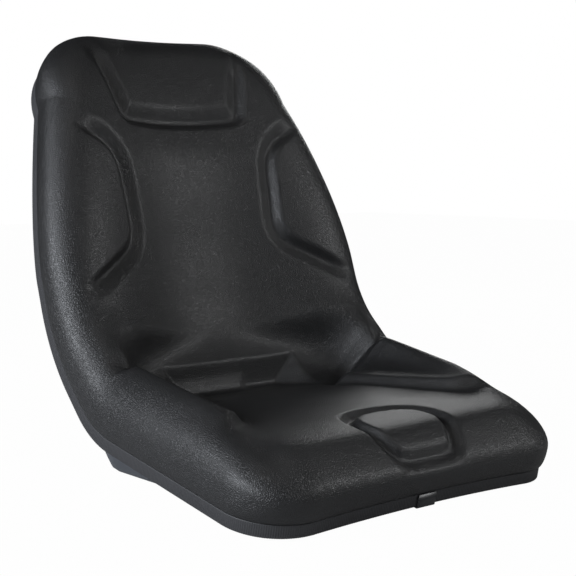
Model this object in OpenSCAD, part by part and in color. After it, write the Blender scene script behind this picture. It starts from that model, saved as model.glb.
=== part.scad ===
// High-back bucket seat for a garden tractor: a moulded foam cushion with a bonded
// vinyl skin, carried in a pressed steel pan. An edge trim grips the pan's flange
// under the cushion's seam line, and a clip covers the joint of the trim.
// Sizes in mm. The seat faces -Y, +Z is up and the pan's flat base lies on Z = 0.
// The origin is the centre of the bolt pattern.

/* [Seam line] */
// Width of the seam line across the seat
seat_w = 460; // [400:2:500]
// Width of the seam line across the top of the back
top_w = 292; // [240:2:340]
// Radius of the seam line at the two front corners
front_corner_r = 67.5; // [50:0.5:85]
// Radius of the seam line at the two top corners
top_corner_r = 94; // [70:1:110]
// Straight length of the seat part, seen from the side
seat_run = 273; // [250:1:300]
// Rise of the seat part from the front to the rear, in degrees
seat_slope = 10.9; // [6:0.1:14]
// Radius of the bend behind the seat part
hip_r = 101; // [85:1:120]
// Slope between the two bends, in degrees
hip_slope = 46.4; // [40:0.1:52]
// Straight length between the two bends
hip_run = 29; // [15:1:45]
// Radius of the bend that leads into the back
lumbar_r = 223.6; // [190:0.2:260]
// Slope at the foot of the back, in degrees
back_slope = 73.5; // [68:0.5:78]
// Length of the back above the bends
back_run = 338.6; // [300:0.2:370]
// Radius by which the back leans away toward its top
back_r = 1175; // [900:25:1500]
// Height of the seam line at the front, over the pan's base
front_z = 17; // [14:0.5:24]
// Distance from the rear bolts to the rear edge of the pan's flat base
bolt_rear = 38.4; // [30:0.2:50]
// Rise of the seam line toward the middle of the front
front_arch = 8; // [0:0.5:12]

/* [Cushion] */
// Thickness over the seam line where the side bolsters end at the front
bolster_h = 72; // [62:0.5:80]
// Thickness over the seam line along the sides of the back
back_side_h = 58; // [50:0.5:66]
// Thickness over the seam line on the low floor of the seat and of the back
floor_h = 8; // [4:0.5:14]
// Thickness over the seam line under the head panel
head_h = 40; // [32:0.5:46]
// Width of the rounded edge along the front
front_roll = 47; // [38:0.5:56]
// Width of the rounded edge along the sides
side_roll = 34; // [28:0.5:42]
// Width of the rounded edge along the top
top_roll = 34; // [28:0.5:42]
// Bulge of the rounded edge past the seam line
roll_bulge = 6; // [2:0.5:8]
// Height share of the rounded edge at which it bulges most
roll_waist = 0.42; // [0.3:0.02:0.6]

/* [Moulded forms] */
// Depth of the grooves around the head panel and the side panels
groove_depth = 10; // [6:0.5:12]
// Width of the groove wall on the panel side
groove_in = 20; // [14:0.5:24]
// Width of the groove wall on the outer side
groove_out = 11; // [8:0.5:14]
// Width of the head panel at its top
head_top_w = 238; // [200:2:256]
// Width of the head panel at its lower edge
head_low_w = 179; // [150:1:200]
// Drop from the top seam to the head panel's lower edge
head_drop = 124; // [105:1:140]
// Drop from the top seam to the waist of the side panels
waist_drop = 164; // [150:1:180]
// Drop from the top seam to the upper ends of the side panels
panel_drop = 133; // [120:1:145]
// Width between the side panels at their waist
waist_w = 222; // [190:2:250]
// Width between the side panels at their upper ends
panel_top_w = 362; // [340:2:372]
// Width between the side panels at their lower ends
panel_low_w = 426; // [400:2:440]
// Rise of the thigh bolsters over the seat floor
thigh_rise = 12; // [6:0.5:16]
// Width between the thigh bolsters at the rear
thigh_rear_w = 196; // [180:2:210]
// Width between the thigh bolsters at the front
thigh_front_w = 320; // [290:2:340]
// Width of the raised pommel at the front
pommel_w = 114; // [95:1:130]
// Length of the pommel from front to rear
pommel_len = 99; // [85:1:110]
// Depth of the crease around the pommel
pommel_depth = 9; // [5:0.5:11]
// Width of the tail pocket
pocket_w = 212; // [180:2:230]
// Depth of the tail pocket under the seat floor
pocket_depth = 26; // [14:1:32]

/* [Pan] */
// Sheet thickness
sheet = 2; // [1.2:0.1:3]
// Width of the sloping side walls, seen from above
pan_wall = 100; // [85:1:115]
// Depth of the pan behind the back
back_depth = 30; // [22:1:40]
// Height of the flange over the seam line
flange_top = 4; // [3:0.25:6]
// Length of the flange under the seam line
flange_drop = 13.1; // [10:0.1:16]
// Bolt spacing across the seat
bolt_x = 203.2; // [180:0.2:220]
// Bolt spacing from front to rear
bolt_y = 254; // [220:1:270]
// Diameter of the bolt holes
bolt_d = 9; // [8.4:0.1:11]
// Diameter of the drain hole
drain_d = 12; // [8:0.5:16]

/* [Edge trim] */
// Wall thickness of the trim
trim_t = 1.6; // [1:0.1:2.2]
// Width of the clip over the trim's joint
clip_w = 27; // [20:1:34]
// Place of the trim's joint beside the middle of the front
clip_x = -4.5; // [-12:0.5:12]
// Sheet thickness of the clip
clip_t = 1.3; // [0.8:0.1:1.8]
// Gap between the two ends of the trim
joint_gap = 1; // [0.5:0.25:3]

/* [Weld nuts] */
// Thread size
nut_thread = 8; // [6:1:10]
// Width across the flats
nut_af = 14; // [12:0.5:17]
// Height of a nut
nut_h = 6.5; // [5:0.5:8]

/* [Hidden] */
rad = PI/180;
// gap between pieces that lie on one another
clear = 0.3;
trim_h = flange_drop + clear + trim_t;

// the seam line from the side: a run, a bend, a run, a bend and the leaning back
s1 = seat_run;
s2 = s1 + hip_r*rad*(hip_slope - seat_slope);
s3 = s2 + hip_run;
s4 = s3 + lumbar_r*rad*(back_slope - hip_slope);
seam_len = s4 + back_run;

function clamp(v, lo, hi) = max(lo, min(hi, v));
function ease(t) = let (c = clamp(t, 0, 1)) c*c*(3 - 2*c);
function mix(a, b, t) = a + (b - a)*t;
function unit(v) = v/norm(v);
function slope(s) = seat_slope + clamp(s - s1, 0, s2 - s1)/hip_r/rad
    + clamp(s - s3, 0, s4 - s3)/lumbar_r/rad - max(0, s - s4)/back_r/rad;
function run_to(p, a, l) = p + l*[cos(a), sin(a)];
function bend_to(p, a, r, b) = p + r*[sin(b) - sin(a), cos(a) - cos(b)];
// the seam line's front is set from the rear edge of the flat base, so the bolts stay on it
base_end = s1 + 49;
base_bend = bend_to(run_to([0, front_z], seat_slope, s1), seat_slope, hip_r, slope(base_end));
base_edge = base_bend[0] + base_bend[1]*tan(slope(base_end));
p0 = [bolt_rear + bolt_y/2 - base_edge, front_z];
p1 = run_to(p0, seat_slope, s1);
p2 = bend_to(p1, seat_slope, hip_r, hip_slope);
p3 = run_to(p2, hip_slope, hip_run);
p4 = bend_to(p3, hip_slope, lumbar_r, back_slope);
function side_line(s) = s <= s1 ? run_to(p0, seat_slope, s)
    : s <= s2 ? bend_to(p1, seat_slope, hip_r, slope(s))
    : s <= s3 ? run_to(p2, hip_slope, s - s2)
    : s <= s4 ? bend_to(p3, hip_slope, lumbar_r, slope(s))
    : bend_to(p4, back_slope, -back_r, slope(s));
// a point at the length s along the seam line, x across and h over it
function place(s, x, h) = let (a = slope(s), p = side_line(s))
    [x, p[0] - h*sin(a), p[1] + h*cos(a)];

// half width of the seam line, and the same with its rounded corners
taper_from = s4 + 28;
function half_w(s) = seat_w/2 + (top_w - seat_w)/2
    *pow(clamp((s - taper_from)/(seam_len - taper_from), 0, 1), 1.5);
top_corner_s = seam_len - top_corner_r;
function arc_inset(d, r) = d >= r ? 0 : r - sqrt(max(0, r*r - pow(r - d, 2)));
function seam_x(s) = half_w(min(s, top_corner_s)) - arc_inset(s, front_corner_r)
    - arc_inset(seam_len - s, top_corner_r);
function seam_h(s, x) = front_arch*(1 - pow(2*x/seat_w, 2))*pow(clamp(1 - s/200, 0, 1), 2);

// smooth curve through [s, h] points
function bow(t, q, i) = let (n = len(t) - 1, l = t[i][0] - t[max(i - 1, 0)][0],
    r = t[min(i + 1, n)][0] - t[i][0])
    i == 0 || i == n ? 0
    : ((t[i+1][1] - t[i][1])*l/r + (t[i][1] - t[i-1][1])*r/l)/(l + r);
function span_of(t, q, i = 0) = i >= len(t) - 2 || q < t[i+1][0] ? i : span_of(t, q, i + 1);
function through(t, q0) = let (q = clamp(q0, t[0][0], t[len(t)-1][0]), i = span_of(t, q),
    d = t[i+1][0] - t[i][0], u = (q - t[i][0])/d)
    t[i][1]*(1 + 2*u)*pow(1 - u, 2) + bow(t, q, i)*d*u*pow(1 - u, 2)
    + t[i+1][1]*u*u*(3 - 2*u) + bow(t, q, i + 1)*d*u*u*(u - 1);

// thickness along the middle and along the crest of the bolsters
middle_line = [[0, bolster_h - 14], [44, bolster_h - 2], [75, bolster_h - 3],
    [103, bolster_h - 7], [160, floor_h + 46], [200, floor_h + 38.5], [250, floor_h + 28],
    [s1 + 12, floor_h + 18], [s1 + 42, floor_h + 7], [s1 + 72, floor_h], [s1 + 105, floor_h - 2],
    [s4 - 20, floor_h + 1], [s4 + 59, floor_h + 6], [s4 + 130, floor_h + 18],
    [seam_len - head_drop - 42, head_h - 7], [seam_len - head_drop, head_h - 5],
    [seam_len - 69, head_h], [seam_len, head_h + 3]];
crest_line = [[0, bolster_h - 6], [44, bolster_h - 2], [91, bolster_h], [200, bolster_h],
    [s1 + 27, bolster_h - 2], [s1 + 85, bolster_h - 6], [s4 - 50, back_side_h + 2],
    [s4 - 2, back_side_h - 1], [seam_len - waist_drop - 45, back_side_h],
    [seam_len - panel_drop + 14, back_side_h + 2],
    [seam_len - 39, back_side_h - 1], [seam_len, back_side_h - 8]];
function body_h(s, x) = let (t = clamp(abs(x)/(half_w(s) - side_roll), 0, 1),
    p = mix(8, 1.2, ease((s - 300)/120)), g = 0.5 - 0.5*cos(180*pow(t, p)))
    mix(through(middle_line, s), through(crest_line, s), g);

// a line with its inner corners rounded
function rounded(p, r, n = 4) = [p[0], for (k = [1:len(p) - 2])
    let (u = p[k-1] - p[k], v = p[k+1] - p[k], q = min(r, norm(u)/2.01, norm(v)/2.01))
    for (i = [0:n]) let (t = i/n)
    pow(1 - t, 2)*(p[k] + q*unit(u)) + 2*t*(1 - t)*p[k] + t*t*(p[k] + q*unit(v)), p[len(p)-1]];
// distance to a line, side of it, and place along it
function run_sums(p, k = 0, a = 0) = k >= len(p) - 1 ? [a]
    : concat([a], run_sums(p, k + 1, a + norm(p[k+1] - p[k])));
function to_part(c, a, b, l0) = let (u = b - a, l = norm(u), t = clamp((c - a)*u/(l*l), 0, 1),
    q = c - a - t*u) [norm(q), sign(u[0]*q[1] - u[1]*q[0]), l0 + t*l];
function nearest(c, line, sums) = let (all = [for (k = [0:len(line) - 2])
    to_part(c, line[k], line[k+1], sums[k])], d = min([for (a = all) a[0]]))
    [for (a = all) if (a[0] == d) a][0];
// 1 on a crease falling to 0 at the foot of its wall
function wall(t) = let (c = clamp(t, 0, 1)) c < 0.75 ? 1 - c/0.875 : pow(1 - c, 2)/0.4375;

head_groove = rounded([[seam_len - 9, head_top_w/2], [seam_len - 31, head_top_w/2 - 4.5],
    [seam_len - head_drop, head_low_w/2], [seam_len - head_drop, 0]], 16);
panel_groove = rounded([[seam_len - panel_drop, panel_top_w/2], [seam_len - waist_drop, waist_w/2 + 7],
    [s4 + 60, waist_w/2], [s4 - 2, panel_low_w/2]], 30);
thigh_edge = rounded([[s1 + 89, seat_w/2 - 2], [s1 - 1, thigh_rear_w/2],
    [125, thigh_front_w/2], [91, seat_w/2 - 10]], 14);
pommel_s = 5;
function pommel_at(u, v) = [pommel_s + u*pommel_len, v*pommel_w/2];
pommel_edge = [pommel_at(0, 0), pommel_at(0, 0.45), pommel_at(0.03, 0.68), pommel_at(0.1, 0.8),
    pommel_at(0.25, 0.92), pommel_at(0.48, 1), pommel_at(0.66, 0.98), pommel_at(0.8, 0.89),
    pommel_at(0.89, 0.73), pommel_at(0.96, 0.49), pommel_at(0.99, 0.21), pommel_at(1, 0)];
head_sums = run_sums(head_groove);
panel_sums = run_sums(panel_groove);
thigh_sums = run_sums(thigh_edge);
pommel_sums = run_sums(pommel_edge);

function head_cut(c) = c[0] < seam_len - head_drop - 25 ? 0
    : let (n = nearest(c, head_groove, head_sums))
    groove_depth*ease(n[2]/60)*wall(n[0]/(n[1] > 0 ? groove_in : groove_out));
function panel_cut(c) = c[0] < s4 - 30 || c[0] > seam_len - panel_drop + 23 ? 0
    : let (n = nearest(c, panel_groove, panel_sums), l = panel_sums[len(panel_sums)-1])
    groove_depth*ease(n[2]/45)*ease((l - n[2])/45)
    *wall(n[0]/(n[1] > 0 ? groove_in : groove_out - 2));
function thigh_form(c) = c[0] < 60 || c[0] > s4 - 50 ? 0
    : let (n = nearest(c, thigh_edge, thigh_sums), l = thigh_sums[len(thigh_sums)-1],
    rise = thigh_rise*ease(n[2]/60)*ease((l - n[2])/45)*(1 - wall(n[0]/16)),
    dip = thigh_rise/2*ease(n[2]/50)*(1 - ease((n[2] - 130)/60))*wall(n[0]/20))
    (n[1] > 0 ? 0 : rise) - dip;
function pommel_cut(c) = c[0] > pommel_s + pommel_len + 20 || c[1] > pommel_w/2 + 20 ? 0
    : let (n = nearest(c, pommel_edge, pommel_sums))
    pommel_depth*wall(n[0]/(n[1] < 0 ? 9 : 13));
pocket_foot = s1 + 68;
pocket_line = [[pocket_foot - 49, 0], [pocket_foot - 41, 1], [pocket_foot - 21, pocket_depth/3],
    [pocket_foot, pocket_depth], [pocket_foot + 6, pocket_depth], [pocket_foot + 31, 2],
    [pocket_foot + 39, 0]];
function pocket_cut(s, x) = lookup(s, pocket_line)*clamp((pocket_w/2 - abs(x))/31, 0, 1);
function top_h(s, x) = let (c = [s, abs(x)])
    body_h(s, x) - head_cut(c) - panel_cut(c) + thigh_form(c) - pommel_cut(c) - pocket_cut(s, x);

// rows of the mesh from the front to the top, set closer where the forms need it
mid_s = 400;
function to_inner(s) = mid_s + (s - mid_s)*(s < mid_s ? (mid_s - front_roll)/mid_s
    : (seam_len - mid_s - top_roll)/(seam_len - mid_s));
function to_seam(s) = mid_s + (s - mid_s)/(s < mid_s ? (mid_s - front_roll)/mid_s
    : (seam_len - mid_s - top_roll)/(seam_len - mid_s));
knots = [[to_inner(front_corner_r), 1], [125, 9], [s1 - 1, 2], [s1 + 27, 4], [s1 + 74, 3],
    [s1 + 108, 6], [s4 - 2, 4], [s4 + 60, 8], [seam_len - waist_drop, 3], [seam_len - head_drop, 0]];
head_s = to_seam(seam_len - head_drop);
rows = concat([for (k = [0:7]) front_corner_r*(1 - cos(90*k/8))],
    [for (i = [0:len(knots) - 2], k = [0:knots[i][1] - 1])
    to_seam(mix(knots[i][0], knots[i+1][0], k/knots[i][1]))],
    [for (k = [0:8]) head_s + (seam_len - head_s)*sin(90*k/8)]);
last_row = len(rows) - 1;
// columns: two of them follow the creases on each side
cols = 36;
crease_x = [[0, 100], [60, 120], [125, thigh_front_w/2], [s1 - 1, thigh_rear_w/2],
    [s1 + 75, 178], [s4 - 2, 180], [s4 + 60, waist_w/2], [seam_len - waist_drop, waist_w/2 + 7],
    [seam_len - head_drop, head_low_w/2], [seam_len - 31, head_top_w/2]];
inner_x = [[0, 40], [25, 50], [55, pommel_w/2], [85, pommel_w/2 - 8], [125, 60], [s1, 48],
    [s4, 80], [s4 + 60, 62], [seam_len - head_drop, 48]];
function column_x(s, j) = let (m = seam_x(s)*(half_w(s) - side_roll)/half_w(s), q = to_inner(s),
    w = ease((m - 140)/40), a = mix(m/3, min(lookup(q, inner_x), 0.6*m), w),
    b = mix(2*m/3, min(lookup(q, crease_x), 0.93*m), w), k = abs(j))
    sign(j)*(k <= 6 ? a*k/6 : k <= 12 ? mix(a, b, (k - 6)/6) : mix(b, m, (k - 12)/6))
    *half_w(s)/(half_w(s) - side_roll);
seam_grid = [for (s = rows) [for (j = [-cols/2:cols/2]) [s, column_x(s, j)]]];
function squeezed(c) = [to_inner(c[0]), c[1]*(half_w(c[0]) - side_roll)/half_w(c[0])];

// boundary of a grid, in turn front, right, top and left
function rim_of(g) = let (n = len(g) - 1, m = len(g[0]) - 1) concat(
    [for (j = [0:m - 1]) g[0][j]], [for (i = [0:n - 1]) g[i][m]],
    [for (j = [m:-1:1]) g[n][j]], [for (i = [n:-1:1]) g[i][0]]);
seam = rim_of(seam_grid);
count = len(seam);
function outward(k) = let (d = seam[(k + 1) % count] - seam[(k + count - 1) % count])
    unit([-d[1], d[0]]);
// a point m outside the seam line and n over it
function by_seam(k, m, n) = let (c = seam[k] + m*outward(k))
    place(c[0], c[1], n + seam_h(seam[k][0], seam[k][1]));
function ring(m, n) = [for (k = [0:count - 1]) by_seam(k, m, n)];
// a ring of the rounded edge: u is its reach toward the seam line, w its share of
// the bulge and v its share of the height
function roll_ring(u, w, v) = [for (c = seam) let (a = squeezed(c), d = c - a,
    t = u + w*roll_bulge/norm(d), q = a + d*min(t, 1), f = a + d*t,
    h = seam_h(c[0], c[1])) place(f[0], f[1], mix(h + clear, top_h(q[0], q[1]), v))];

// triangles: a grid, a band between two loops of one length, and one from a fine
// loop to a loop with half its points
function grid_faces(n, m, o, up) = [for (i = [0:n - 1], j = [0:m - 1])
    let (a = o + i*(m + 1) + j, b = a + 1, c = a + m + 1, d = c + 1, lean = j < m/2)
    each (lean ? (up ? [[a, d, b], [a, c, d]] : [[a, b, d], [a, d, c]])
    : (up ? [[a, c, b], [b, c, d]] : [[a, b, c], [b, d, c]]))];
function band_faces(a, b) = let (n = len(a)) [for (k = [0:n - 1]) let (l = (k + 1) % n)
    each [[a[k], b[l], b[k]], [a[k], a[l], b[l]]]];
function to_coarse(a, b) = let (n = len(b)) [for (k = [0:n - 1]) let (l = (k + 1) % n,
    f = a[2*k], g = a[2*k + 1], h = a[(2*k + 2) % (2*n)])
    each [[f, g, b[k]], [g, b[l], b[k]], [g, h, b[l]]]];
function to_fine(a, b) = let (n = len(a)) [for (k = [0:n - 1]) let (l = (k + 1) % n,
    f = b[2*k], g = b[2*k + 1], h = b[(2*k + 2) % (2*n)])
    each [[a[k], g, f], [a[k], a[l], g], [a[l], h, g]]];
function numbers(o, n) = [for (k = [0:n - 1]) o + k];
function grid_rim(o, n, m) = rim_of([for (i = [0:n]) [for (j = [0:m]) o + i*(m + 1) + j]]);

// the pan: a dish under the seam line, cut flat by its base
inset = 7;
function dish_depth(s) = s < base_end ? (side_line(s)[1] + 7)/cos(slope(s))
    : mix(dish_depth(base_end - 0.01), back_depth, ease((s - base_end)/190));
function soft_max(a, b, k) = let (t = clamp(0.5 + (a - b)/k/2, 0, 1)) mix(b, a, t) + k*t*(1 - t);
function dish(c) = let (s = c[0], x = c[1],
    g = ease((seam_x(s) - abs(x))/pan_wall)*ease(s/45)*ease((seam_len - s)/70),
    k = (seam_len - 2*inset)/seam_len,
    p = place(inset + s*k, x*(half_w(s) - inset)/half_w(s),
    mix(flange_top + seam_h(s, x), -dish_depth(s), g)))
    [p[0], p[1], soft_max(p[2], sheet, 6)];
function dish_up(c) = let (s = clamp(c[0], 1, seam_len - 1), w = seam_x(s), x = clamp(c[1], 1 - w, w - 1))
    unit(cross(dish([s, x + 1]) - dish([s, x - 1]), dish([s + 1, x]) - dish([s - 1, x])));
pan_rows = [for (i = [0:2:last_row]) rows[i]];
last_pan = len(pan_rows) - 1;
half = cols/4;
pan_cols = cols/2;
// columns of the pan, closer together where its side walls meet the base
function pan_x(s, j) = let (u = abs(j)/half, v = lookup(u, [[0, 0], [0.3, 0.36], [0.8, 0.8], [1, 1]]))
    sign(j)*seam_x(s)*mix(u, v, ease((seam_x(s) - 160)/40));
pan_grid = [for (s = pan_rows) [for (j = [-half:half]) [s, pan_x(s, j)]]];
function flat(g) = [for (r = g) each r];
function dish_points(lift) = [for (c = flat(pan_grid)) dish(c) + lift*dish_up(c)];

module cushion() {
    rolls = concat([for (a = [18:18:90]) roll_ring(sin(a), sin(a), mix(roll_waist, 1, cos(a)))],
        [for (a = [45, 90]) roll_ring(1, cos(a), roll_waist*(1 - sin(a)))]);
    loops = concat(rolls, [ring(-trim_t, clear), ring(-trim_t, flange_top + clear)]);
    top = [for (c = flat(seam_grid)) let (q = squeezed(c)) place(q[0], q[1], top_h(q[0], q[1]))];
    o = len(top);
    bottom = o + len(loops)*count;
    sides = concat([grid_rim(0, last_row, cols)],
        [for (i = [0:len(loops) - 1]) numbers(o + i*count, count)]);
    color([0.11, 0.11, 0.11]) difference() {
        polyhedron(concat(top, flat(loops), dish_points(clear)), concat(
            grid_faces(last_row, cols, 0, true),
            [for (i = [0:len(sides) - 2]) each band_faces(sides[i], sides[i+1])],
            to_coarse(sides[len(sides)-1], grid_rim(bottom, last_pan, pan_cols)),
            grid_faces(last_pan, pan_cols, bottom, false)), convexity = 10);
        at_bolts() cylinder(h = sheet + nut_h + 2, d = nut_af/cos(30) + 4, $fn = 48);
    }
}

module seat_pan() {
    o = len(flat(pan_grid));
    lo = -trim_t - clear;
    loops = [ring(lo, flange_top), ring(lo, -flange_drop), ring(lo - sheet, -flange_drop),
        ring(lo - sheet, flange_top - sheet)];
    under = o + 4*count;
    sides = [for (i = [0:3]) numbers(o + i*count, count)];
    color([0.25, 0.27, 0.3]) difference() {
        polyhedron(concat(dish_points(0), flat(loops), dish_points(-sheet)), concat(
            grid_faces(last_pan, pan_cols, 0, true),
            to_fine(grid_rim(0, last_pan, pan_cols), sides[0]),
            [for (i = [0:2]) each band_faces(sides[i], sides[i+1])],
            to_coarse(sides[3], grid_rim(under, last_pan, pan_cols)),
            grid_faces(last_pan, pan_cols, under, false)), convexity = 10);
        at_bolts() translate([0, 0, -1]) cylinder(h = sheet + 2, d = bolt_d, $fn = 48);
        translate([0, 0, -1]) cylinder(h = sheet + 2, d = drain_d, $fn = 48);
    }
}

// U section that grips the flange from below, swept from one side of the joint to the other
module edge_trim() {
    g = 2*trim_t + sheet + 2*clear;
    u = [[0, 0], [-trim_t, 0], [-trim_t, trim_t - trim_h], [trim_t - g, trim_t - trim_h],
        [trim_t - g, 0], [-g, 0], [-g, -trim_h], [0, -trim_h]];
    function joint(x) = [for (c = u) place(-c[0], x, c[1] + seam_h(0, x))];
    run = [for (i = [2:count - 2]) [for (c = u) by_seam((i + cols/2) % count, c[0], c[1])]];
    parts = concat([joint(clip_x + joint_gap/2)], run, [joint(clip_x - joint_gap/2)]);
    n = len(parts) - 1;
    cap = [[0, 1, 2], [0, 2, 7], [2, 3, 6], [2, 6, 7], [3, 4, 5], [3, 5, 6]];
    color([0.08, 0.08, 0.08]) polyhedron(flat(parts), concat(
        [for (i = [0:n - 1], k = [0:7]) let (a = i*8 + k, b = i*8 + (k + 1) % 8)
            each [[a, b, b + 8], [a, b + 8, a + 8]]],
        [for (f = cap) [f[2], f[1], f[0]]], [for (f = cap) f + 8*n*[1, 1, 1]]), convexity = 6);
}

module trim_clip() {
    g = 2*trim_t + sheet + 2*clear;
    a = clear;
    b = clear + clip_t;
    u = [[a, -1], [b, -1], [b, -trim_h - b], [-g - b, -trim_h - b], [-g - b, -trim_h + 9],
        [-g - a, -trim_h + 9], [-g - a, -trim_h - a], [a, -trim_h - a]];
    side = [for (c = u) let (p = place(-c[0], clip_x, c[1] + seam_h(0, clip_x))) [p[1], p[2]]];
    color([0.06, 0.06, 0.06]) translate([clip_x, 0, 0]) rotate([90, 0, 90])
        linear_extrude(clip_w, center = true) polygon(side);
}

module at_bolts() {
    for (x = [-1, 1], y = [-1, 1]) translate([x*bolt_x/2, y*bolt_y/2, 0]) children();
}

module weld_nuts() {
    color([0.62, 0.63, 0.65]) at_bolts() translate([0, 0, sheet]) difference() {
        cylinder(h = nut_h, d = nut_af/cos(30), $fn = 6);
        translate([0, 0, -1]) cylinder(h = nut_h + 2, d = nut_thread - 1.35, $fn = 48);
    }
}

cushion();
seat_pan();
edge_trim();
trim_clip();
weld_nuts();
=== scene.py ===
import math
import bpy
import numpy as np
from mathutils import Matrix


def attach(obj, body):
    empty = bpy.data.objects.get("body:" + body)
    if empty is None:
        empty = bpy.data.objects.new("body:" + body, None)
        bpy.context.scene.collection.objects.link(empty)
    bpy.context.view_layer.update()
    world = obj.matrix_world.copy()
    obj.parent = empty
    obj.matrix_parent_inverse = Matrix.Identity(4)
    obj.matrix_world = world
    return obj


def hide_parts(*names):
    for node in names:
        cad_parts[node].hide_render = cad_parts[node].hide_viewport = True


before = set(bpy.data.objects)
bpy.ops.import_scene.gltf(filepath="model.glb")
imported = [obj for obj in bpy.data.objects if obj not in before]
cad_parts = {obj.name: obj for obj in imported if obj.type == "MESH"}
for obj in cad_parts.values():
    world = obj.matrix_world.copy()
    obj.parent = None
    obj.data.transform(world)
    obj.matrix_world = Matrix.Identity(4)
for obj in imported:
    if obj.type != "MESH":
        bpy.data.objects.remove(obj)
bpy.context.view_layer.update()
print("frame loaded:", sorted(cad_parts))

# ---- the seam line between cushion and trim, which every piece follows; mm and degrees
seam = {
    "width": 460.0, "topWidth": 292.0,          # across the seat and across the top
    "frontCorner": 67.5, "topCorner": 94.0,     # corner radii
    "seatRun": 273.0, "seatSlope": 10.9,        # straight seat part
    "hipRadius": 101.0, "hipSlope": 46.4, "hipRun": 29.0,
    "lumbarRadius": 223.6, "backSlope": 73.5,
    "backRun": 338.6, "backRadius": 1175.0,     # the back leans away toward its top
    "frontY": 218.0, "frontZ": 17.0, "frontArch": 8.0,
}
s1 = seam["seatRun"]
s2 = s1 + seam["hipRadius"]*math.radians(seam["hipSlope"] - seam["seatSlope"])
s3 = s2 + seam["hipRun"]
s4 = s3 + seam["lumbarRadius"]*math.radians(seam["backSlope"] - seam["hipSlope"])
seamLength = s4 + seam["backRun"]
taperFrom = s4 + 28


# 3t^2 - 2t^3 with t held between 0 and 1
def ease(t):
    t = np.clip(t, 0, 1)
    return t*t*(3 - 2*t)


def mix(a, b, t):
    return a + (b - a)*t


# slope = first slope + (length run through each bend)/(its radius) - (length up the back)/(lean radius)
def slopeAt(s):
    return (math.radians(seam["seatSlope"]) + np.clip(s - s1, 0, s2 - s1)/seam["hipRadius"]
            + np.clip(s - s3, 0, s4 - s3)/seam["lumbarRadius"] - np.clip(s - s4, 0, None)/seam["backRadius"])


# y = sum of cos(slope) ds and z = sum of sin(slope) ds, kept as a fine table
lineS = np.linspace(-60, seamLength + 60, 12001)
lineMid = slopeAt((lineS[1:] + lineS[:-1])/2)
lineStep = lineS[1] - lineS[0]
lineY = np.concatenate([[0], np.cumsum(np.cos(lineMid)*lineStep)])
lineZ = np.concatenate([[0], np.cumsum(np.sin(lineMid)*lineStep)])
lineY += -seam["frontY"] - np.interp(0, lineS, lineY)
lineZ += seam["frontZ"] - np.interp(0, lineS, lineZ)


# point at length s, width x and height h over the seam line: line + h*(0, -sin slope, cos slope), in metres
def place(s, x, h):
    a = slopeAt(s)
    return np.stack([x + 0*s, np.interp(s, lineS, lineY) - h*np.sin(a),
                     np.interp(s, lineS, lineZ) + h*np.cos(a)], -1)*0.001


# half width = half the seat's, narrowing with the 1.5th power of the way up the back
def halfWidth(s):
    t = np.clip((s - taperFrom)/(seamLength - taperFrom), 0, 1)
    return (seam["width"] + (seam["topWidth"] - seam["width"])*t**1.5)/2


# half width with the corners rounded: less r - sqrt(r^2 - (r - d)^2) at the distance d from an end
def seamX(s):
    def inset(d, r):
        return np.where(d < r, r - np.sqrt(np.clip(r*r - (r - d)**2, 0, None)), 0)
    return (halfWidth(np.minimum(s, seamLength - seam["topCorner"])) - inset(s, seam["frontCorner"])
            - inset(seamLength - s, seam["topCorner"]))


# rise of the seam toward the middle of the front: arch*(1 - (x/half)^2)*(1 - s/200)^2
def seamRise(s, x):
    return seam["frontArch"]*(1 - (2*x/seam["width"])**2)*np.clip(1 - s/200, 0, 1)**2


# ---- meshes from arrays
# corners (i, j), (i, j+1), (i+1, j+1), (i+1, j) of each cell, turned round for a lower side
def gridQuads(rows, cols, start, up=True):
    i, j = np.meshgrid(np.arange(rows - 1), np.arange(cols - 1), indexing="ij")
    a = start + i*cols + j
    q = np.stack([a, a + 1, a + cols + 1, a + cols], -1).reshape(-1, 4)
    return q if up else q[:, ::-1]


# indices round a grid: front, right side, top, left side
def gridRim(rows, cols, start):
    g = start + np.arange(rows*cols).reshape(rows, cols)
    return np.concatenate([g[0, :-1], g[:-1, -1], g[-1, :0:-1], g[:0:-1, 0]])


# quads between two loops of equal length, the second one further out and down
def bandQuads(a, b):
    return np.stack([a, b, np.roll(b, -1), np.roll(a, -1)], -1)


# triangles between a loop and one with half its points
def halvingTris(fine, coarse, inward=True):
    f, g, h = fine[0::2], fine[1::2], np.roll(fine[0::2], -1)
    c, d = coarse, np.roll(coarse, -1)
    t = np.concatenate([np.stack([f, c, g], -1), np.stack([g, c, d], -1), np.stack([g, d, h], -1)])
    return t if inward else t[:, ::-1]


# a mesh object from points and faces, shaded smooth
def addPiece(name, points, quads, tris=None):
    points = np.asarray(points, float).reshape(-1, 3)
    tris = np.zeros((0, 3), int) if tris is None else tris
    corners = np.concatenate([quads.ravel(), tris.ravel()]).astype(np.int32)
    sizes = np.concatenate([np.full(len(quads), 4), np.full(len(tris), 3)]).astype(np.int32)
    mesh = bpy.data.meshes.new(name)
    mesh.vertices.add(len(points))
    mesh.vertices.foreach_set("co", points.ravel())
    mesh.loops.add(len(corners))
    mesh.loops.foreach_set("vertex_index", corners)
    mesh.polygons.add(len(sizes))
    mesh.polygons.foreach_set("loop_start", np.concatenate([[0], np.cumsum(sizes)[:-1]]).astype(np.int32))
    mesh.update(calc_edges=True)
    mesh.validate()
    mesh.shade_smooth()
    piece = bpy.data.objects.new(name, mesh)
    bpy.context.scene.collection.objects.link(piece)
    return piece


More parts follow.
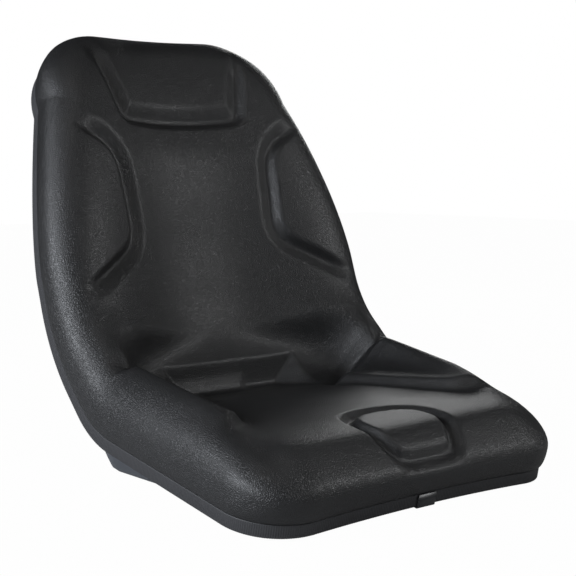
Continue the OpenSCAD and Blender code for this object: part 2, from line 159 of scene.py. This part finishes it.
# ---- cushion: one moulded foam piece with all its forms
cushionSet = {
    "bolster": 72.0, "backSide": 58.0, "floor": 8.0, "head": 40.0,      # thickness over the seam line
    "frontRoll": 47.0, "sideRoll": 34.0, "topRoll": 34.0,               # width of the rounded edge
    "bulge": 6.0, "waist": 0.42,                                        # how far and how high it bulges
    "grooveDepth": 10.0, "grooveIn": 20.0, "grooveOut": 11.0,
    "headTop": 238.0, "headLow": 179.0, "headDrop": 121.0,
    "panelWaist": 222.0, "panelTop": 362.0, "panelLow": 426.0,
    "thighRise": 12.0, "thighRear": 196.0, "thighFront": 320.0,
    "pommelWidth": 114.0, "pommelLength": 99.0, "pommelDepth": 9.0,
    "pocketWidth": 212.0, "pocketDepth": 26.0, "ledge": 6.0,
    "across": 156, "along": 250, "turns": 20,                           # mesh density
    "trimWall": 1.6, "flangeTop": 4.0, "gap": 0.3, "inset": 7.0,
}
cu = cushionSet
middleLine = [(0, cu["bolster"] - 14), (44, cu["bolster"] - 2), (75, cu["bolster"] - 3),
              (103, cu["bolster"] - 7),
              (160, cu["floor"] + 46), (200, cu["floor"] + 38.5), (250, cu["floor"] + 28),
              (s1 + 12, cu["floor"] + 18),
              (s1 + 42, cu["floor"] + 7), (s1 + 72, cu["floor"]), (s1 + 105, cu["floor"] - 2),
              (s4 - 20, cu["floor"] + 1),
              (s4 + 59, cu["floor"] + 6), (s4 + 130, cu["floor"] + 18), (seamLength - 166, cu["head"] - 7),
              (seamLength - 124, cu["head"] - 5), (seamLength - 69, cu["head"]),
              (seamLength, cu["head"] + 3)]
crestLine = [(0, cu["bolster"] - 16), (44, cu["bolster"] - 10), (91, cu["bolster"] - 4),
             (140, cu["bolster"]),
             (200, cu["bolster"]),
             (s1 + 27, cu["bolster"] - 2), (s1 + 85, cu["bolster"] - 6), (s4 - 50, cu["backSide"] + 2),
             (s4 - 2, cu["backSide"] - 1), (seamLength - 209, cu["backSide"]),
             (seamLength - 119, cu["backSide"] + 2),
             (seamLength - 39, cu["backSide"] - 1), (seamLength, cu["backSide"] - 8)]


# cubic through the points, the slope at each from its two neighbours and level at both ends
def through(points, q):
    px, py = np.array(points, float).T
    d = np.diff(py)/np.diff(px)
    gap = np.diff(px)
    m = np.concatenate([[0], (d[1:]*gap[:-1] + d[:-1]*gap[1:])/(gap[1:] + gap[:-1]), [0]])
    q = np.clip(q, px[0], px[-1])
    i = np.clip(np.searchsorted(px, q, side="right") - 1, 0, len(px) - 2)
    t = (q - px[i])/gap[i]
    return (py[i]*(1 + 2*t)*(1 - t)**2 + m[i]*gap[i]*t*(1 - t)**2
            + py[i + 1]*t*t*(3 - 2*t) + m[i + 1]*gap[i]*t*t*(t - 1))


# a line whose inner corners are quadratic arcs of reach r
def roundedLine(points, r, n=10):
    p = [np.array(c, float) for c in points]
    t = np.linspace(0, 1, n)[:, None]
    out = [p[0][None]]
    for a, b, c in zip(p[:-2], p[1:-1], p[2:]):
        u, v = (a - b)/np.hypot(*(a - b)), (c - b)/np.hypot(*(c - b))
        q = min(r, np.hypot(*(a - b))/2.01, np.hypot(*(c - b))/2.01)
        out.append((1 - t)**2*(b + u*q) + 2*t*(1 - t)*b + t*t*(b + v*q))
    return np.concatenate(out + [p[-1][None]])


# distance from (s, a) to the line, the side it lies on, the place along the line and its length
def nearLine(s, a, line):
    best, side, along = np.full(np.shape(s), 1e9), np.ones(np.shape(s)), np.zeros(np.shape(s))
    step = np.diff(line, axis=0)
    length = np.hypot(step[:, 0], step[:, 1])
    run = np.concatenate([[0], np.cumsum(length)])
    for k in range(len(step)):
        u, v = s - line[k, 0], a - line[k, 1]
        t = np.clip((u*step[k, 0] + v*step[k, 1])/length[k]**2, 0, 1)
        d = np.hypot(u - t*step[k, 0], v - t*step[k, 1])
        near = d < best - 1e-9
        best = np.where(near, d, best)
        side = np.where(near, np.sign(step[k, 0]*(v - t*step[k, 1]) - step[k, 1]*(u - t*step[k, 0])), side)
        along = np.where(near, run[k] + t*length[k], along)
    return best, side, along, run[-1]


# wall of a groove: 1 on the crease, straight down to 0 at t = 1 with a rounded foot;
# the crease itself is rounded
def wallOf(d, width):
    t = np.clip((np.sqrt(d*d + 2.0) - 1.414)/width, 0, 1)
    return np.where(t < 0.7, 1 - t/0.85, (1 - t)**2/0.51)


headGroove = roundedLine([(seamLength - 9, cu["headTop"]/2), (seamLength - 31, cu["headTop"]/2 - 4.5),
                          (seamLength - cu["headDrop"], cu["headLow"]/2),
                          (seamLength - cu["headDrop"], 0)], 11)
panelGroove = roundedLine([(seamLength - 133, cu["panelTop"]/2), (seamLength - 164, cu["panelWaist"]/2 + 7),
                           (s4 + 60, cu["panelWaist"]/2), (s4 - 2, cu["panelLow"]/2)], 30)
thighEdge = roundedLine([(s1 + 89, seam["width"]/2 - 2), (s1 - 1, cu["thighRear"]/2),
                         (125, cu["thighFront"]/2), (91, seam["width"]/2 - 10)], 14)
pommelShape = [(0, 0), (0, 0.45), (0.03, 0.68), (0.1, 0.8), (0.25, 0.92), (0.48, 1), (0.66, 0.98),
               (0.8, 0.89), (0.89, 0.73), (0.96, 0.49), (0.99, 0.21), (1, 0)]
pommelEdge = np.array([(5 + u*cu["pommelLength"], v*cu["pommelWidth"]/2) for u, v in pommelShape])


# height of the plain body: middle line blended into the crest line by a cosine of the way across
def bodyHeight(s, x):
    t = np.clip(np.abs(x)/(halfWidth(s) - cu["sideRoll"]), 0, 1)
    g = 0.5 - 0.5*np.cos(np.pi*t**mix(8.0, 1.2, ease((s - 300)/120)))
    return mix(through(middleLine, s), through(crestLine, s), g)


# height of the cushion over the seam line: the body less its grooves, pommel crease and pocket,
# plus the bolsters
def topHeight(s, x):
    a = np.abs(x)
    h = bodyHeight(s, x)
    d, side, along, length = nearLine(s, a, headGroove)
    h = h - cu["grooveDepth"]*ease(along/60)*wallOf(d, np.where(side > 0, cu["grooveIn"], cu["grooveOut"]))
    d, side, along, length = nearLine(s, a, panelGroove)
    h = h - (cu["grooveDepth"]*ease(along/45)*ease((length - along)/45)
             * wallOf(d, np.where(side > 0, cu["grooveIn"], cu["grooveOut"] - 2)))
    d, side, along, length = nearLine(s, a, thighEdge)
    rise = cu["thighRise"]*ease(along/60)*ease((length - along)/60)*(1 - wallOf(d, 14))
    rise = rise*ease((seam["width"]/2 - a)/50)
    dip = cu["thighRise"]/2*ease(along/50)*(1 - ease((along - 130)/60))*wallOf(d, 20)
    h = h + np.where(side < 0, rise, 0) - dip
    d, side, along, length = nearLine(s, a, pommelEdge)
    h = h - cu["pommelDepth"]*wallOf(d, np.where(side < 0, 9.0, 13.0))
    # tail pocket: the least of its rear wall, its side wall and its front ramp, with a rounded lip
    foot = s1 + 68
    sideWall = np.clip((cu["pocketWidth"]/2 - a)/31, 0, 1)
    ramp = np.interp(s, [foot - 49, foot - 41, foot - 21, foot], [0, 0.04, 0.34, 1])
    deep = np.minimum(np.minimum(np.clip((foot + 31 - s)/25, 0, 1), sideWall), ramp)
    ledge = cu["ledge"]*np.clip(1 - np.abs(s - foot - 6)/12, 0, 1)*ease((30 - x)/18)*sideWall
    return h - cu["pocketDepth"]*1.08*deep**2/(deep + 0.08) + ledge


# the rounded edge begins on an inner line: the seam drawn in toward the middle by the widths of the rolls
def drawnIn(s, x):
    k = np.where(s < 400, (400 - cu["frontRoll"])/400, (seamLength - 400 - cu["topRoll"])/(seamLength - 400))
    return 400 + (s - 400)*k, x*(halfWidth(s) - cu["sideRoll"])/halfWidth(s)


# rows closer together in the corners: r(1 - cos) at the front and r sin at the top
def seamRows(n, atFront, atTop):
    r, q = seam["frontCorner"], seam["topCorner"]
    return np.concatenate([r*(1 - np.cos(np.linspace(0, np.pi/2, atFront + 1)[:-1])),
                           np.linspace(r, seamLength - q, n - atFront - atTop + 1),
                           seamLength - q + q*np.sin(np.linspace(0, np.pi/2, atTop + 1)[1:])])


# the grid of seam coordinates: x = v*(half width with corners), v from -1 to 1
def seamGrid(rows, cols):
    s = np.repeat(rows[:, None], cols, 1)
    return s, np.linspace(-1, 1, cols)[None]*seamX(s)


# the pan's dish: the flange height near the seam blended into the dish's depth,
# cut flat at the sheet's thickness
panSet = {"sheet": 2.0, "wall": 100.0, "backDepth": 30.0,
          "flangeTop": 4.0, "flangeDrop": 13.1, "baseRound": 6.0}


def dishDepth(s):
    end = s1 + 49
    def toBase(q):
        return (np.interp(q, lineS, lineZ) + 7)/np.cos(slopeAt(q))
    return np.where(s < end, toBase(np.minimum(s, end)),
                    mix(toBase(end - 0.01), panSet["backDepth"], ease((s - end)/190)))


def dish(s, x):
    s, x = np.asarray(s, float), np.asarray(x, float)
    g = ease((seamX(s) - np.abs(x))/panSet["wall"])*ease(s/45)*ease((seamLength - s)/70)
    k = (seamLength - 2*cu["inset"])/seamLength
    p = place(cu["inset"] + s*k, x*(halfWidth(s) - cu["inset"])/halfWidth(s),
              mix(panSet["flangeTop"] + seamRise(s, x), -dishDepth(s), g))
    z, low, soft = p[..., 2]*1000, panSet["sheet"], panSet["baseRound"]
    t = np.clip(0.5 + (z - low)/soft/2, 0, 1)
    p[..., 2] = (mix(low, z, t) + soft*t*(1 - t))*0.001
    return p


# the dish lifted along its normal, the cross product of its differences over 1 mm
def liftedDish(s, x, lift):
    u = np.clip(s, 1, seamLength - 1)
    w = seamX(u)
    v = np.clip(x, 1 - w, w - 1)
    n = np.cross(dish(u, v + 1) - dish(u, v - 1), dish(u + 1, v) - dish(u - 1, v))
    return dish(s, x) + lift*0.001*n/np.linalg.norm(n, axis=-1, keepdims=True)


# outward normal of a closed loop in (s, x): its tangent turned by a quarter
def outwardOf(loop):
    d = np.roll(loop, -1, 0) - np.roll(loop, 1, 0)
    return np.stack([-d[:, 1], d[:, 0]], -1)/np.hypot(d[:, 0], d[:, 1])[:, None]


def buildCushion():
    nRows, nCols = cu["along"] + 1, cu["across"] + 1
    rows = seamRows(nRows - 1, 24, 28)
    s, x = seamGrid(rows, nCols)
    si, xi = drawnIn(s, x)
    points = [place(si, xi, topHeight(si, xi)).reshape(-1, 3)]
    quads = [gridQuads(nRows, nCols, 0)]
    rim = gridRim(nRows, nCols, 0)
    loop = np.stack([s.ravel()[rim], x.ravel()[rim]], -1)
    inner = np.stack([si.ravel()[rim], xi.ravel()[rim]], -1)
    away = loop - inner
    reachOf = np.hypot(away[:, 0], away[:, 1])[:, None]
    share = cu["bulge"]/reachOf
    low = seamRise(loop[:, 0], loop[:, 1]) + cu["gap"]
    last, count = rim, nRows*nCols
    # rounded edge: reach sin(a)(1 + bulge) while a turns to 90 degrees, then back to the seam;
    # the forms that run over it are set off along its normal (sin a outward, cos a up): the pommel's
    # crease holds on over the front as far as 60 degrees, and on the sides they fade with the cosine
    atFront = ease((-away[:, :1]/reachOf - 0.93)/0.04)
    turn = cu["turns"]
    for k in range(1, turn + 1):
        if k <= turn*0.65:
            a = k/(turn*0.65)*np.pi/2
            reach, height = math.sin(a)*(1 + share), mix(cu["waist"], 1.0, math.cos(a))
            hold = mix(math.cos(a)**2, 1 - ease((math.degrees(a) - 60)/22), atFront)
            aside, up = math.sin(a), math.cos(a)
        else:
            a = (k/turn - 0.65)/0.35*np.pi/2
            reach, height = 1 + math.cos(a)*share, cu["waist"]*(1 - math.sin(a))
            hold = 0*atFront
        q = inner + away*np.minimum(reach, 1)
        plain = bodyHeight(q[:, 0], q[:, 1])
        form = hold*(topHeight(q[:, 0], q[:, 1]) - plain)[:, None]
        f = inner + away*(reach + aside*form/reachOf)
        points.append(place(f[:, 0], f[:, 1], mix(low, plain, height) + up*form[:, 0]))
        ring = count + np.arange(len(rim))
        quads.append(bandQuads(last, ring))
        last, count = ring, count + len(rim)
    out = outwardOf(loop)
    for m, n in ((-cu["trimWall"], cu["gap"]), (-cu["trimWall"], cu["flangeTop"] + cu["gap"])):
        f = loop + m*out
        points.append(place(f[:, 0], f[:, 1], n + seamRise(loop[:, 0], loop[:, 1])))
        ring = count + np.arange(len(rim))
        quads.append(bandQuads(last, ring))
        last, count = ring, count + len(rim)
    sl, xl = seamGrid(rows[::2], cu["across"]//2 + 1)
    points.append(liftedDish(sl, xl, cu["gap"]).reshape(-1, 3))
    quads.append(gridQuads(len(sl), sl.shape[1], count, up=False))
    tris = halvingTris(last, gridRim(len(sl), sl.shape[1], count))
    return addPiece("seatCushion", np.concatenate(points), np.concatenate(quads), tris)


cushionPiece = buildCushion()
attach(cushionPiece, "root")
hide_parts("cushion")
print("cushion", len(cushionPiece.data.polygons))

# ---- trim: ribbed U section round the flange
trimSet = {"height": 15.0, "wall": 1.6, "grip": 5.8, "ribPitch": 2.4, "ribDepth": 0.45, "perRib": 4,
           "jointX": -4.5, "jointGap": 1.0, "round": 1.2}


# points round the seam at equal steps of length, starting beside the joint at the front
def seamWalk(n):
    s = seamRows(1200, 300, 300)
    x = seamX(s)
    half = np.concatenate([np.stack([np.zeros(200), np.linspace(0, x[0], 201)[:-1]], -1),
                           np.stack([s, x], -1),
                           np.stack([np.full(200, seamLength), np.linspace(x[-1], 0, 201)[1:]], -1)])
    loop = np.concatenate([half, (half*[1, -1])[-2:0:-1]])
    loop = np.concatenate([loop, loop[:1]])
    run = np.concatenate([[0], np.cumsum(np.hypot(*np.diff(loop, axis=0).T))])
    t = trimSet
    q = np.linspace(t["jointX"] + t["jointGap"]/2, run[-1] + t["jointX"] - t["jointGap"]/2, n)
    return np.stack([np.interp(q % run[-1], run, loop[:, 0]),
                     np.interp(q % run[-1], run, loop[:, 1])], -1), q


def buildTrim():
    t = trimSet
    total = 2260.0
    n = int(total/t["ribPitch"])*t["perRib"] + 1
    walk, run = seamWalk(n)
    d = np.gradient(walk, axis=0)
    out = np.stack([-d[:, 1], d[:, 0]], -1)/np.hypot(d[:, 0], d[:, 1])[:, None]
    # section (m outward, n up), with rounded lower corners; the last number is how much of a rib it carries
    g, h, w, r = t["grip"], t["height"], t["wall"], t["round"]
    section = np.array([(-0.4, 0, 0), (-w, -0.2, 0), (-w, -h + w, 0), (w - g, -h + w, 0),
                        (w - g, -0.6, 0), (-g, -1, 0),
                        (-g, -h + r, 0.5), (-g + 0.3*r, -h + 0.3*r, 0.5), (-g + r, -h, 0.5), (-r, -h, 1),
                        (-0.3*r, -h + 0.3*r, 1), (0, -h + r, 1), (0, -1.6, 1), (0, -0.5, 0.2)])
    rib = t["ribDepth"]*(0.5 - 0.5*np.cos(np.arange(n)*2*np.pi/t["perRib"]))[:, None]*section[None, :, 2]
    m = section[None, :, 0] - rib*np.where(section[None, :, 0] > -g/2, 1, -1)
    s = walk[:, None, 0] + m*out[:, None, 0]
    x = walk[:, None, 1] + m*out[:, None, 1]
    z = section[None, :, 1] + seamRise(walk[:, 0], walk[:, 1])[:, None]
    points = place(s, x, z).reshape(-1, 3)
    c = len(section)
    i, j = np.meshgrid(np.arange(n - 1), np.arange(c), indexing="ij")
    a, b = i*c + j, i*c + (j + 1) % c
    quads = np.stack([a, a + c, b + c, b], -1).reshape(-1, 4)
    cap = np.array([(0, 1, 12), (0, 12, 13), (1, 2, 11), (1, 11, 12), (2, 10, 11), (2, 9, 10),
                    (2, 3, 8), (2, 8, 9),
                    (3, 7, 8), (3, 6, 7), (3, 4, 6), (4, 5, 6)])
    return addPiece("edgeTrimRibbed", points, quads, np.concatenate([cap, cap[:, ::-1] + (n - 1)*c]))


trimPiece = buildTrim()
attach(trimPiece, "root")
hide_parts("edge_trim")
print("trim", len(trimPiece.data.polygons))

# ---- pan: pressed sheet under the cushion, with its flange turned down inside the trim
panHoles = {"boltX": 203.2, "boltY": 254.0, "boltD": 9.0, "drainD": 12.0, "along": 160, "across": 112}


def buildPan():
    nRows, nCols = panHoles["along"] + 1, panHoles["across"] + 1
    s, x = seamGrid(seamRows(nRows - 1, 20, 24), nCols)
    rim = gridRim(nRows, nCols, 0)
    loop = np.stack([s.ravel()[rim], x.ravel()[rim]], -1)
    out, rise = outwardOf(loop), seamRise(loop[:, 0], loop[:, 1])
    outer, sheet = -1.9, panSet["sheet"]
    points = [dish(s, x).reshape(-1, 3)]
    quads = [gridQuads(nRows, nCols, 0)]
    last, count = rim, nRows*nCols
    top, drop = panSet["flangeTop"], panSet["flangeDrop"]
    for m, n in ((outer - 1.6, top), (outer - 0.5, top - 0.5), (outer, top - 1.6),
                 (outer, -drop), (outer - sheet, -drop),
                 (outer - sheet, top - sheet - 0.4), (outer - sheet - 0.4, top - sheet)):
        f = loop + m*out
        points.append(place(f[:, 0], f[:, 1], n + rise))
        ring = count + np.arange(len(rim))
        quads.append(bandQuads(last, ring))
        last, count = ring, count + len(rim)
    points.append(liftedDish(s, x, -sheet).reshape(-1, 3))
    quads.append(gridQuads(nRows, nCols, count, up=False))
    quads.append(bandQuads(last, gridRim(nRows, nCols, count)))
    return addPiece("pressedPan", np.concatenate(points), np.concatenate(quads))


# an upright cylinder, in millimetres, used once to cut a hole
def holeCutter(x, y, d):
    a = np.linspace(0, 2*np.pi, 48, endpoint=False)
    ring = np.stack([x + d/2*np.cos(a), y + d/2*np.sin(a)], -1)
    points = np.concatenate([np.c_[ring, np.full(48, -4.0)], np.c_[ring, np.full(48, 5.0)],
                             [[x, y, -4.0], [x, y, 5.0]]])*0.001
    k = np.arange(48)
    l = (k + 1) % 48
    quads = np.stack([k, l, l + 48, k + 48], -1)
    return addPiece("cutter", points, quads,
                    np.concatenate([np.stack([np.full(48, 96), l, k], -1),
                                    np.stack([np.full(48, 97), k + 48, l + 48], -1)]))


panPiece = buildPan()
spots = [(i*panHoles["boltX"]/2, j*panHoles["boltY"]/2, panHoles["boltD"]) for i in (-1, 1) for j in (-1, 1)]
for spot in spots + [(0, 0, panHoles["drainD"])]:
    cutter = holeCutter(*spot)
    cut = panPiece.modifiers.new("hole", "BOOLEAN")
    cut.operation = "DIFFERENCE"
    cut.solver = "EXACT"
    cut.object = cutter
    bpy.context.view_layer.update()
    done = bpy.data.meshes.new_from_object(panPiece.evaluated_get(bpy.context.evaluated_depsgraph_get()))
    panPiece.modifiers.clear()
    panPiece.data = done
    bpy.data.objects.remove(cutter)
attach(panPiece, "root")
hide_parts("seat_pan")
print("pan", len(panPiece.data.polygons))

# ---- clip over the trim's joint: a folded strip with rounded edges
clipSet = {"width": 27.0, "x": -4.5, "sheet": 1.3, "gap": 0.3, "grip": 5.8, "height": 15.0}


def buildClip():
    t = clipSet
    a, b, g, h = t["gap"], t["gap"] + t["sheet"], t["grip"], t["height"]
    n = 8
    arc = np.linspace(0, np.pi/2, n)
    # outer and inner outline of the fold, each corner an arc round its own centre
    def fold(o, r):
        right = np.stack([o - r + r*np.cos(arc), -h - o + r - r*np.sin(arc)], -1)
        left = np.stack([-g - o + r - r*np.sin(arc), -h - o + r - r*np.cos(arc)], -1)
        return np.concatenate([[[o, -1.0]], right, left, [[-g - o, -h + 9.0]]])
    outer, inner = fold(b, 1.7), fold(a, 0.5)
    side = np.concatenate([outer, inner[::-1]])
    xs = t["x"] + t["width"]/2*np.array([-1.0, -0.97, 0.97, 1.0])
    shrink = np.array([0.25, 0.0, 0.0, 0.25])
    middle = np.concatenate([(outer + inner)/2, ((outer + inner)/2)[::-1]])
    m = mix(side[None], middle[None], shrink[:, None, None])
    points = place(-m[..., 0], xs[:, None] + 0*m[..., 0], m[..., 1] + seamRise(0.0, t["x"]))
    c = len(side)
    i, j = np.meshgrid(np.arange(3), np.arange(c), indexing="ij")
    p, q = i*c + j, i*c + (j + 1) % c
    quads = np.stack([p, q, q + c, p + c], -1).reshape(-1, 4)
    k = np.arange(c//2 - 1)
    ends = np.stack([k, c - 1 - k, c - 2 - k, k + 1], -1)
    return addPiece("jointClip", points.reshape(-1, 3), np.concatenate([quads, ends, ends[:, ::-1] + 3*c]))


clipPiece = buildClip()
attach(clipPiece, "root")
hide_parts("trim_clip")
print("clip")


# ---- materials
# a new material with its principled shader and the node that gives object coordinates
def newFinish(name, colour, roughness, specular=0.5, metal=0.0):
    made = bpy.data.materials.new(name)
    made.use_nodes = True
    shader = made.node_tree.nodes["Principled BSDF"]
    shader.inputs["Base Color"].default_value = (*colour, 1)
    shader.inputs["Roughness"].default_value = roughness
    shader.inputs["Specular IOR Level"].default_value = specular
    shader.inputs["Metallic"].default_value = metal
    coords = made.node_tree.nodes.new("ShaderNodeTexCoord")
    return made, made.node_tree, shader, coords


def addNode(tree, kind, **values):
    node = tree.nodes.new(kind)
    for key, value in values.items():
        if hasattr(node, key):
            setattr(node, key, value)
        else:
            node.inputs[key.replace("_", " ")].default_value = value
    return node


vinylSet = {"colour": (0.011, 0.011, 0.0115), "worn": (0.016, 0.016, 0.0165), "roughness": 0.38,
            "grain": 520.0, "grainDepth": 0.00035, "fineGrain": 1500.0}


# leather grain: cell edges of a voronoi pattern, broken up by fine noise; colour and gloss drift slowly
def vinylFinish():
    v = vinylSet
    made, tree, shader, coords = newFinish("blackVinyl", v["colour"], v["roughness"])
    link = tree.links.new
    warp = addNode(tree, "ShaderNodeTexNoise", Scale=180.0, Detail=2.0)
    shift = addNode(tree, "ShaderNodeVectorMath", operation="MULTIPLY_ADD")
    shift.inputs[1].default_value = (0.0016, 0.0016, 0.0016)
    cells = addNode(tree, "ShaderNodeTexVoronoi", feature="DISTANCE_TO_EDGE", Scale=v["grain"])
    crease = addNode(tree, "ShaderNodeMapRange", interpolation_type="SMOOTHSTEP")
    crease.inputs["From Max"].default_value = 0.22
    fine = addNode(tree, "ShaderNodeTexNoise", Scale=v["fineGrain"], Detail=3.0)
    both = addNode(tree, "ShaderNodeMath", operation="MULTIPLY_ADD")
    both.inputs[1].default_value = 0.35
    bump = addNode(tree, "ShaderNodeBump", Strength=0.55, Distance=v["grainDepth"])
    drift = addNode(tree, "ShaderNodeTexNoise", Scale=9.0, Detail=4.0)
    tint = addNode(tree, "ShaderNodeMix", data_type="RGBA")
    tint.inputs[6].default_value = (*v["colour"], 1)
    tint.inputs[7].default_value = (*v["worn"], 1)
    gloss = addNode(tree, "ShaderNodeMapRange")
    gloss.inputs["To Min"].default_value = v["roughness"] - 0.05
    gloss.inputs["To Max"].default_value = v["roughness"] + 0.07
    link(coords.outputs["Object"], warp.inputs["Vector"])
    link(warp.outputs["Color"], shift.inputs[0])
    link(coords.outputs["Object"], shift.inputs[2])
    link(shift.outputs["Vector"], cells.inputs["Vector"])
    link(coords.outputs["Object"], fine.inputs["Vector"])
    link(coords.outputs["Object"], drift.inputs["Vector"])
    link(cells.outputs["Distance"], crease.inputs["Value"])
    link(fine.outputs["Fac"], both.inputs[0])
    link(crease.outputs["Result"], both.inputs[2])
    link(both.outputs["Value"], bump.inputs["Height"])
    link(bump.outputs["Normal"], shader.inputs["Normal"])
    link(drift.outputs["Fac"], tint.inputs[0])
    link(tint.outputs[2], shader.inputs["Base Color"])
    link(drift.outputs["Fac"], gloss.inputs["Value"])
    link(gloss.outputs["Result"], shader.inputs["Roughness"])
    return made


# smooth paint or plastic: a fine orange peel in the bump and a slow drift of gloss
def smoothFinish(name, colour, second, roughness, peel, depth, metal=0.0):
    made, tree, shader, coords = newFinish(name, colour, roughness, metal=metal)
    link = tree.links.new
    skin = addNode(tree, "ShaderNodeTexNoise", Scale=peel, Detail=3.0)
    bump = addNode(tree, "ShaderNodeBump", Strength=0.4, Distance=depth)
    drift = addNode(tree, "ShaderNodeTexNoise", Scale=14.0, Detail=5.0)
    tint = addNode(tree, "ShaderNodeMix", data_type="RGBA")
    tint.inputs[6].default_value = (*colour, 1)
    tint.inputs[7].default_value = (*second, 1)
    gloss = addNode(tree, "ShaderNodeMapRange")
    gloss.inputs["To Min"].default_value = roughness - 0.05
    gloss.inputs["To Max"].default_value = roughness + 0.08
    for node in (skin, drift):
        link(coords.outputs["Object"], node.inputs["Vector"])
    link(skin.outputs["Fac"], bump.inputs["Height"])
    link(bump.outputs["Normal"], shader.inputs["Normal"])
    link(drift.outputs["Fac"], tint.inputs[0])
    link(tint.outputs[2], shader.inputs["Base Color"])
    link(drift.outputs["Fac"], gloss.inputs["Value"])
    link(gloss.outputs["Result"], shader.inputs["Roughness"])
    return made


cushionPiece.data.materials.append(vinylFinish())
trimPiece.data.materials.append(smoothFinish("trimRubber", (0.028, 0.028, 0.03),
                                             (0.04, 0.04, 0.043), 0.5, 1500.0, 0.00005))
panPiece.data.materials.clear()
panPiece.data.materials.append(smoothFinish("panPaint", (0.05, 0.055, 0.065),
                                            (0.06, 0.066, 0.078), 0.38, 900.0, 0.00006))
clipPiece.data.materials.append(smoothFinish("clipPlastic", (0.02, 0.02, 0.022),
                                             (0.026, 0.026, 0.028), 0.3, 700.0, 0.00003))
nutSteel = smoothFinish("zincSteel", (0.55, 0.56, 0.58), (0.45, 0.46, 0.49),
                        0.36, 1200.0, 0.00004, metal=1.0)
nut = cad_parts["weld_nuts"]
nut.data.materials.clear()
nut.data.materials.append(nutSteel)
print("materials")

# ---- stage, lamps and camera
stageSet = {"camera": (-1.0442, -1.1907, 0.3767), "heading": -40.9556, "pitch": 5.3664, "lens": 84.375,
            "floorShade": 0.985, "floorColour": 0.5, "ambient": 0.03}


# the floor and the world are white to the camera, while the floor keeps part of its shadow
def buildStage():
    size = 6.0
    points = np.array([(-size, -size, 0), (size, -size, 0), (size, size, 0), (-size, size, 0)], float)
    floor = addPiece("paleFloor", points, np.array([[0, 1, 2, 3]]))
    made = bpy.data.materials.new("paleFloor")
    made.use_nodes = True
    tree = made.node_tree
    tree.nodes.clear()
    link = tree.links.new
    lit = addNode(tree, "ShaderNodeBsdfDiffuse", Color=(*[stageSet["floorColour"]]*3, 1))
    glow = addNode(tree, "ShaderNodeEmission", Strength=1.0)
    blend = addNode(tree, "ShaderNodeMixShader")
    ray = addNode(tree, "ShaderNodeLightPath")
    share = addNode(tree, "ShaderNodeMath", operation="MULTIPLY")
    share.inputs[1].default_value = stageSet["floorShade"]
    out = addNode(tree, "ShaderNodeOutputMaterial")
    link(ray.outputs["Is Camera Ray"], share.inputs[0])
    link(share.outputs["Value"], blend.inputs["Fac"])
    link(lit.outputs["BSDF"], blend.inputs[1])
    link(glow.outputs["Emission"], blend.inputs[2])
    link(blend.outputs["Shader"], out.inputs["Surface"])
    floor.data.materials.append(made)
    world = bpy.data.worlds.new("studio")
    bpy.context.scene.world = world
    world.use_nodes = True
    tree = world.node_tree
    tree.nodes.clear()
    link = tree.links.new
    ray = addNode(tree, "ShaderNodeLightPath")
    soft = addNode(tree, "ShaderNodeBackground", Color=(0.92, 0.95, 1.0, 1), Strength=stageSet["ambient"])
    white = addNode(tree, "ShaderNodeBackground", Color=(1, 1, 1, 1), Strength=1.0)
    blend = addNode(tree, "ShaderNodeMixShader")
    out = addNode(tree, "ShaderNodeOutputWorld")
    link(ray.outputs["Is Camera Ray"], blend.inputs["Fac"])
    link(soft.outputs["Background"], blend.inputs[1])
    link(white.outputs["Background"], blend.inputs[2])
    link(blend.outputs["Shader"], out.inputs["Surface"])


# a rectangular lamp that looks from a point toward the middle of the seat
def addLamp(name, spot, target, size, power, colour):
    lamp = bpy.data.lights.new(name, "AREA")
    lamp.shape = "RECTANGLE"
    lamp.size, lamp.size_y = size
    lamp.energy = power
    lamp.color = colour
    made = bpy.data.objects.new(name, lamp)
    bpy.context.scene.collection.objects.link(made)
    z = np.array(spot, float) - np.array(target, float)
    z /= np.linalg.norm(z)
    x = np.cross((0, 0, 1), z)
    x /= np.linalg.norm(x)
    y = np.cross(z, x)
    made.matrix_world = Matrix([(x[0], y[0], z[0], spot[0]), (x[1], y[1], z[1], spot[1]),
                                (x[2], y[2], z[2], spot[2]), (0, 0, 0, 1)])


def addCamera():
    st = stageSet
    turn, pitch = math.radians(st["heading"]), math.radians(st["pitch"])
    f = np.array([-math.sin(turn)*math.cos(pitch), math.cos(turn)*math.cos(pitch), -math.sin(pitch)])
    r = np.cross(f, (0, 0, 1))
    r /= np.linalg.norm(r)
    u = np.cross(r, f)
    lens = bpy.data.cameras.new("photoView")
    lens.lens, lens.sensor_width, lens.sensor_fit = st["lens"], 36.0, "HORIZONTAL"
    lens.clip_end = 50
    made = bpy.data.objects.new("photoView", lens)
    bpy.context.scene.collection.objects.link(made)
    c = st["camera"]
    made.matrix_world = Matrix([(r[0], u[0], -f[0], c[0]), (r[1], u[1], -f[1], c[1]),
                                (r[2], u[2], -f[2], c[2]), (0, 0, 0, 1)])
    bpy.context.scene.camera = made


buildStage()
addLamp("keyLeft", (-2.4, 0.2, 0.95), (0, 0, 0.3), (2.2, 0.7), 88, (0.90, 0.94, 1.0))
addLamp("topSoft", (-0.4, -0.6, 2.3), (0, 0, 0.2), (0.8, 0.8), 5, (1.0, 0.98, 0.94))
addLamp("fillFront", (1.6, -1.6, 1.25), (0, 0.1, 0.4), (1.3, 0.6), 20, (0.98, 0.99, 1.0))
addLamp("backRight", (1.9, 1.6, 1.1), (0, -0.1, 0.2), (0.9, 0.7), 7, (0.99, 1.0, 1.0))
addCamera()
view = bpy.context.scene.view_settings
view.view_transform = "Standard"
print("stage, lamps and camera")
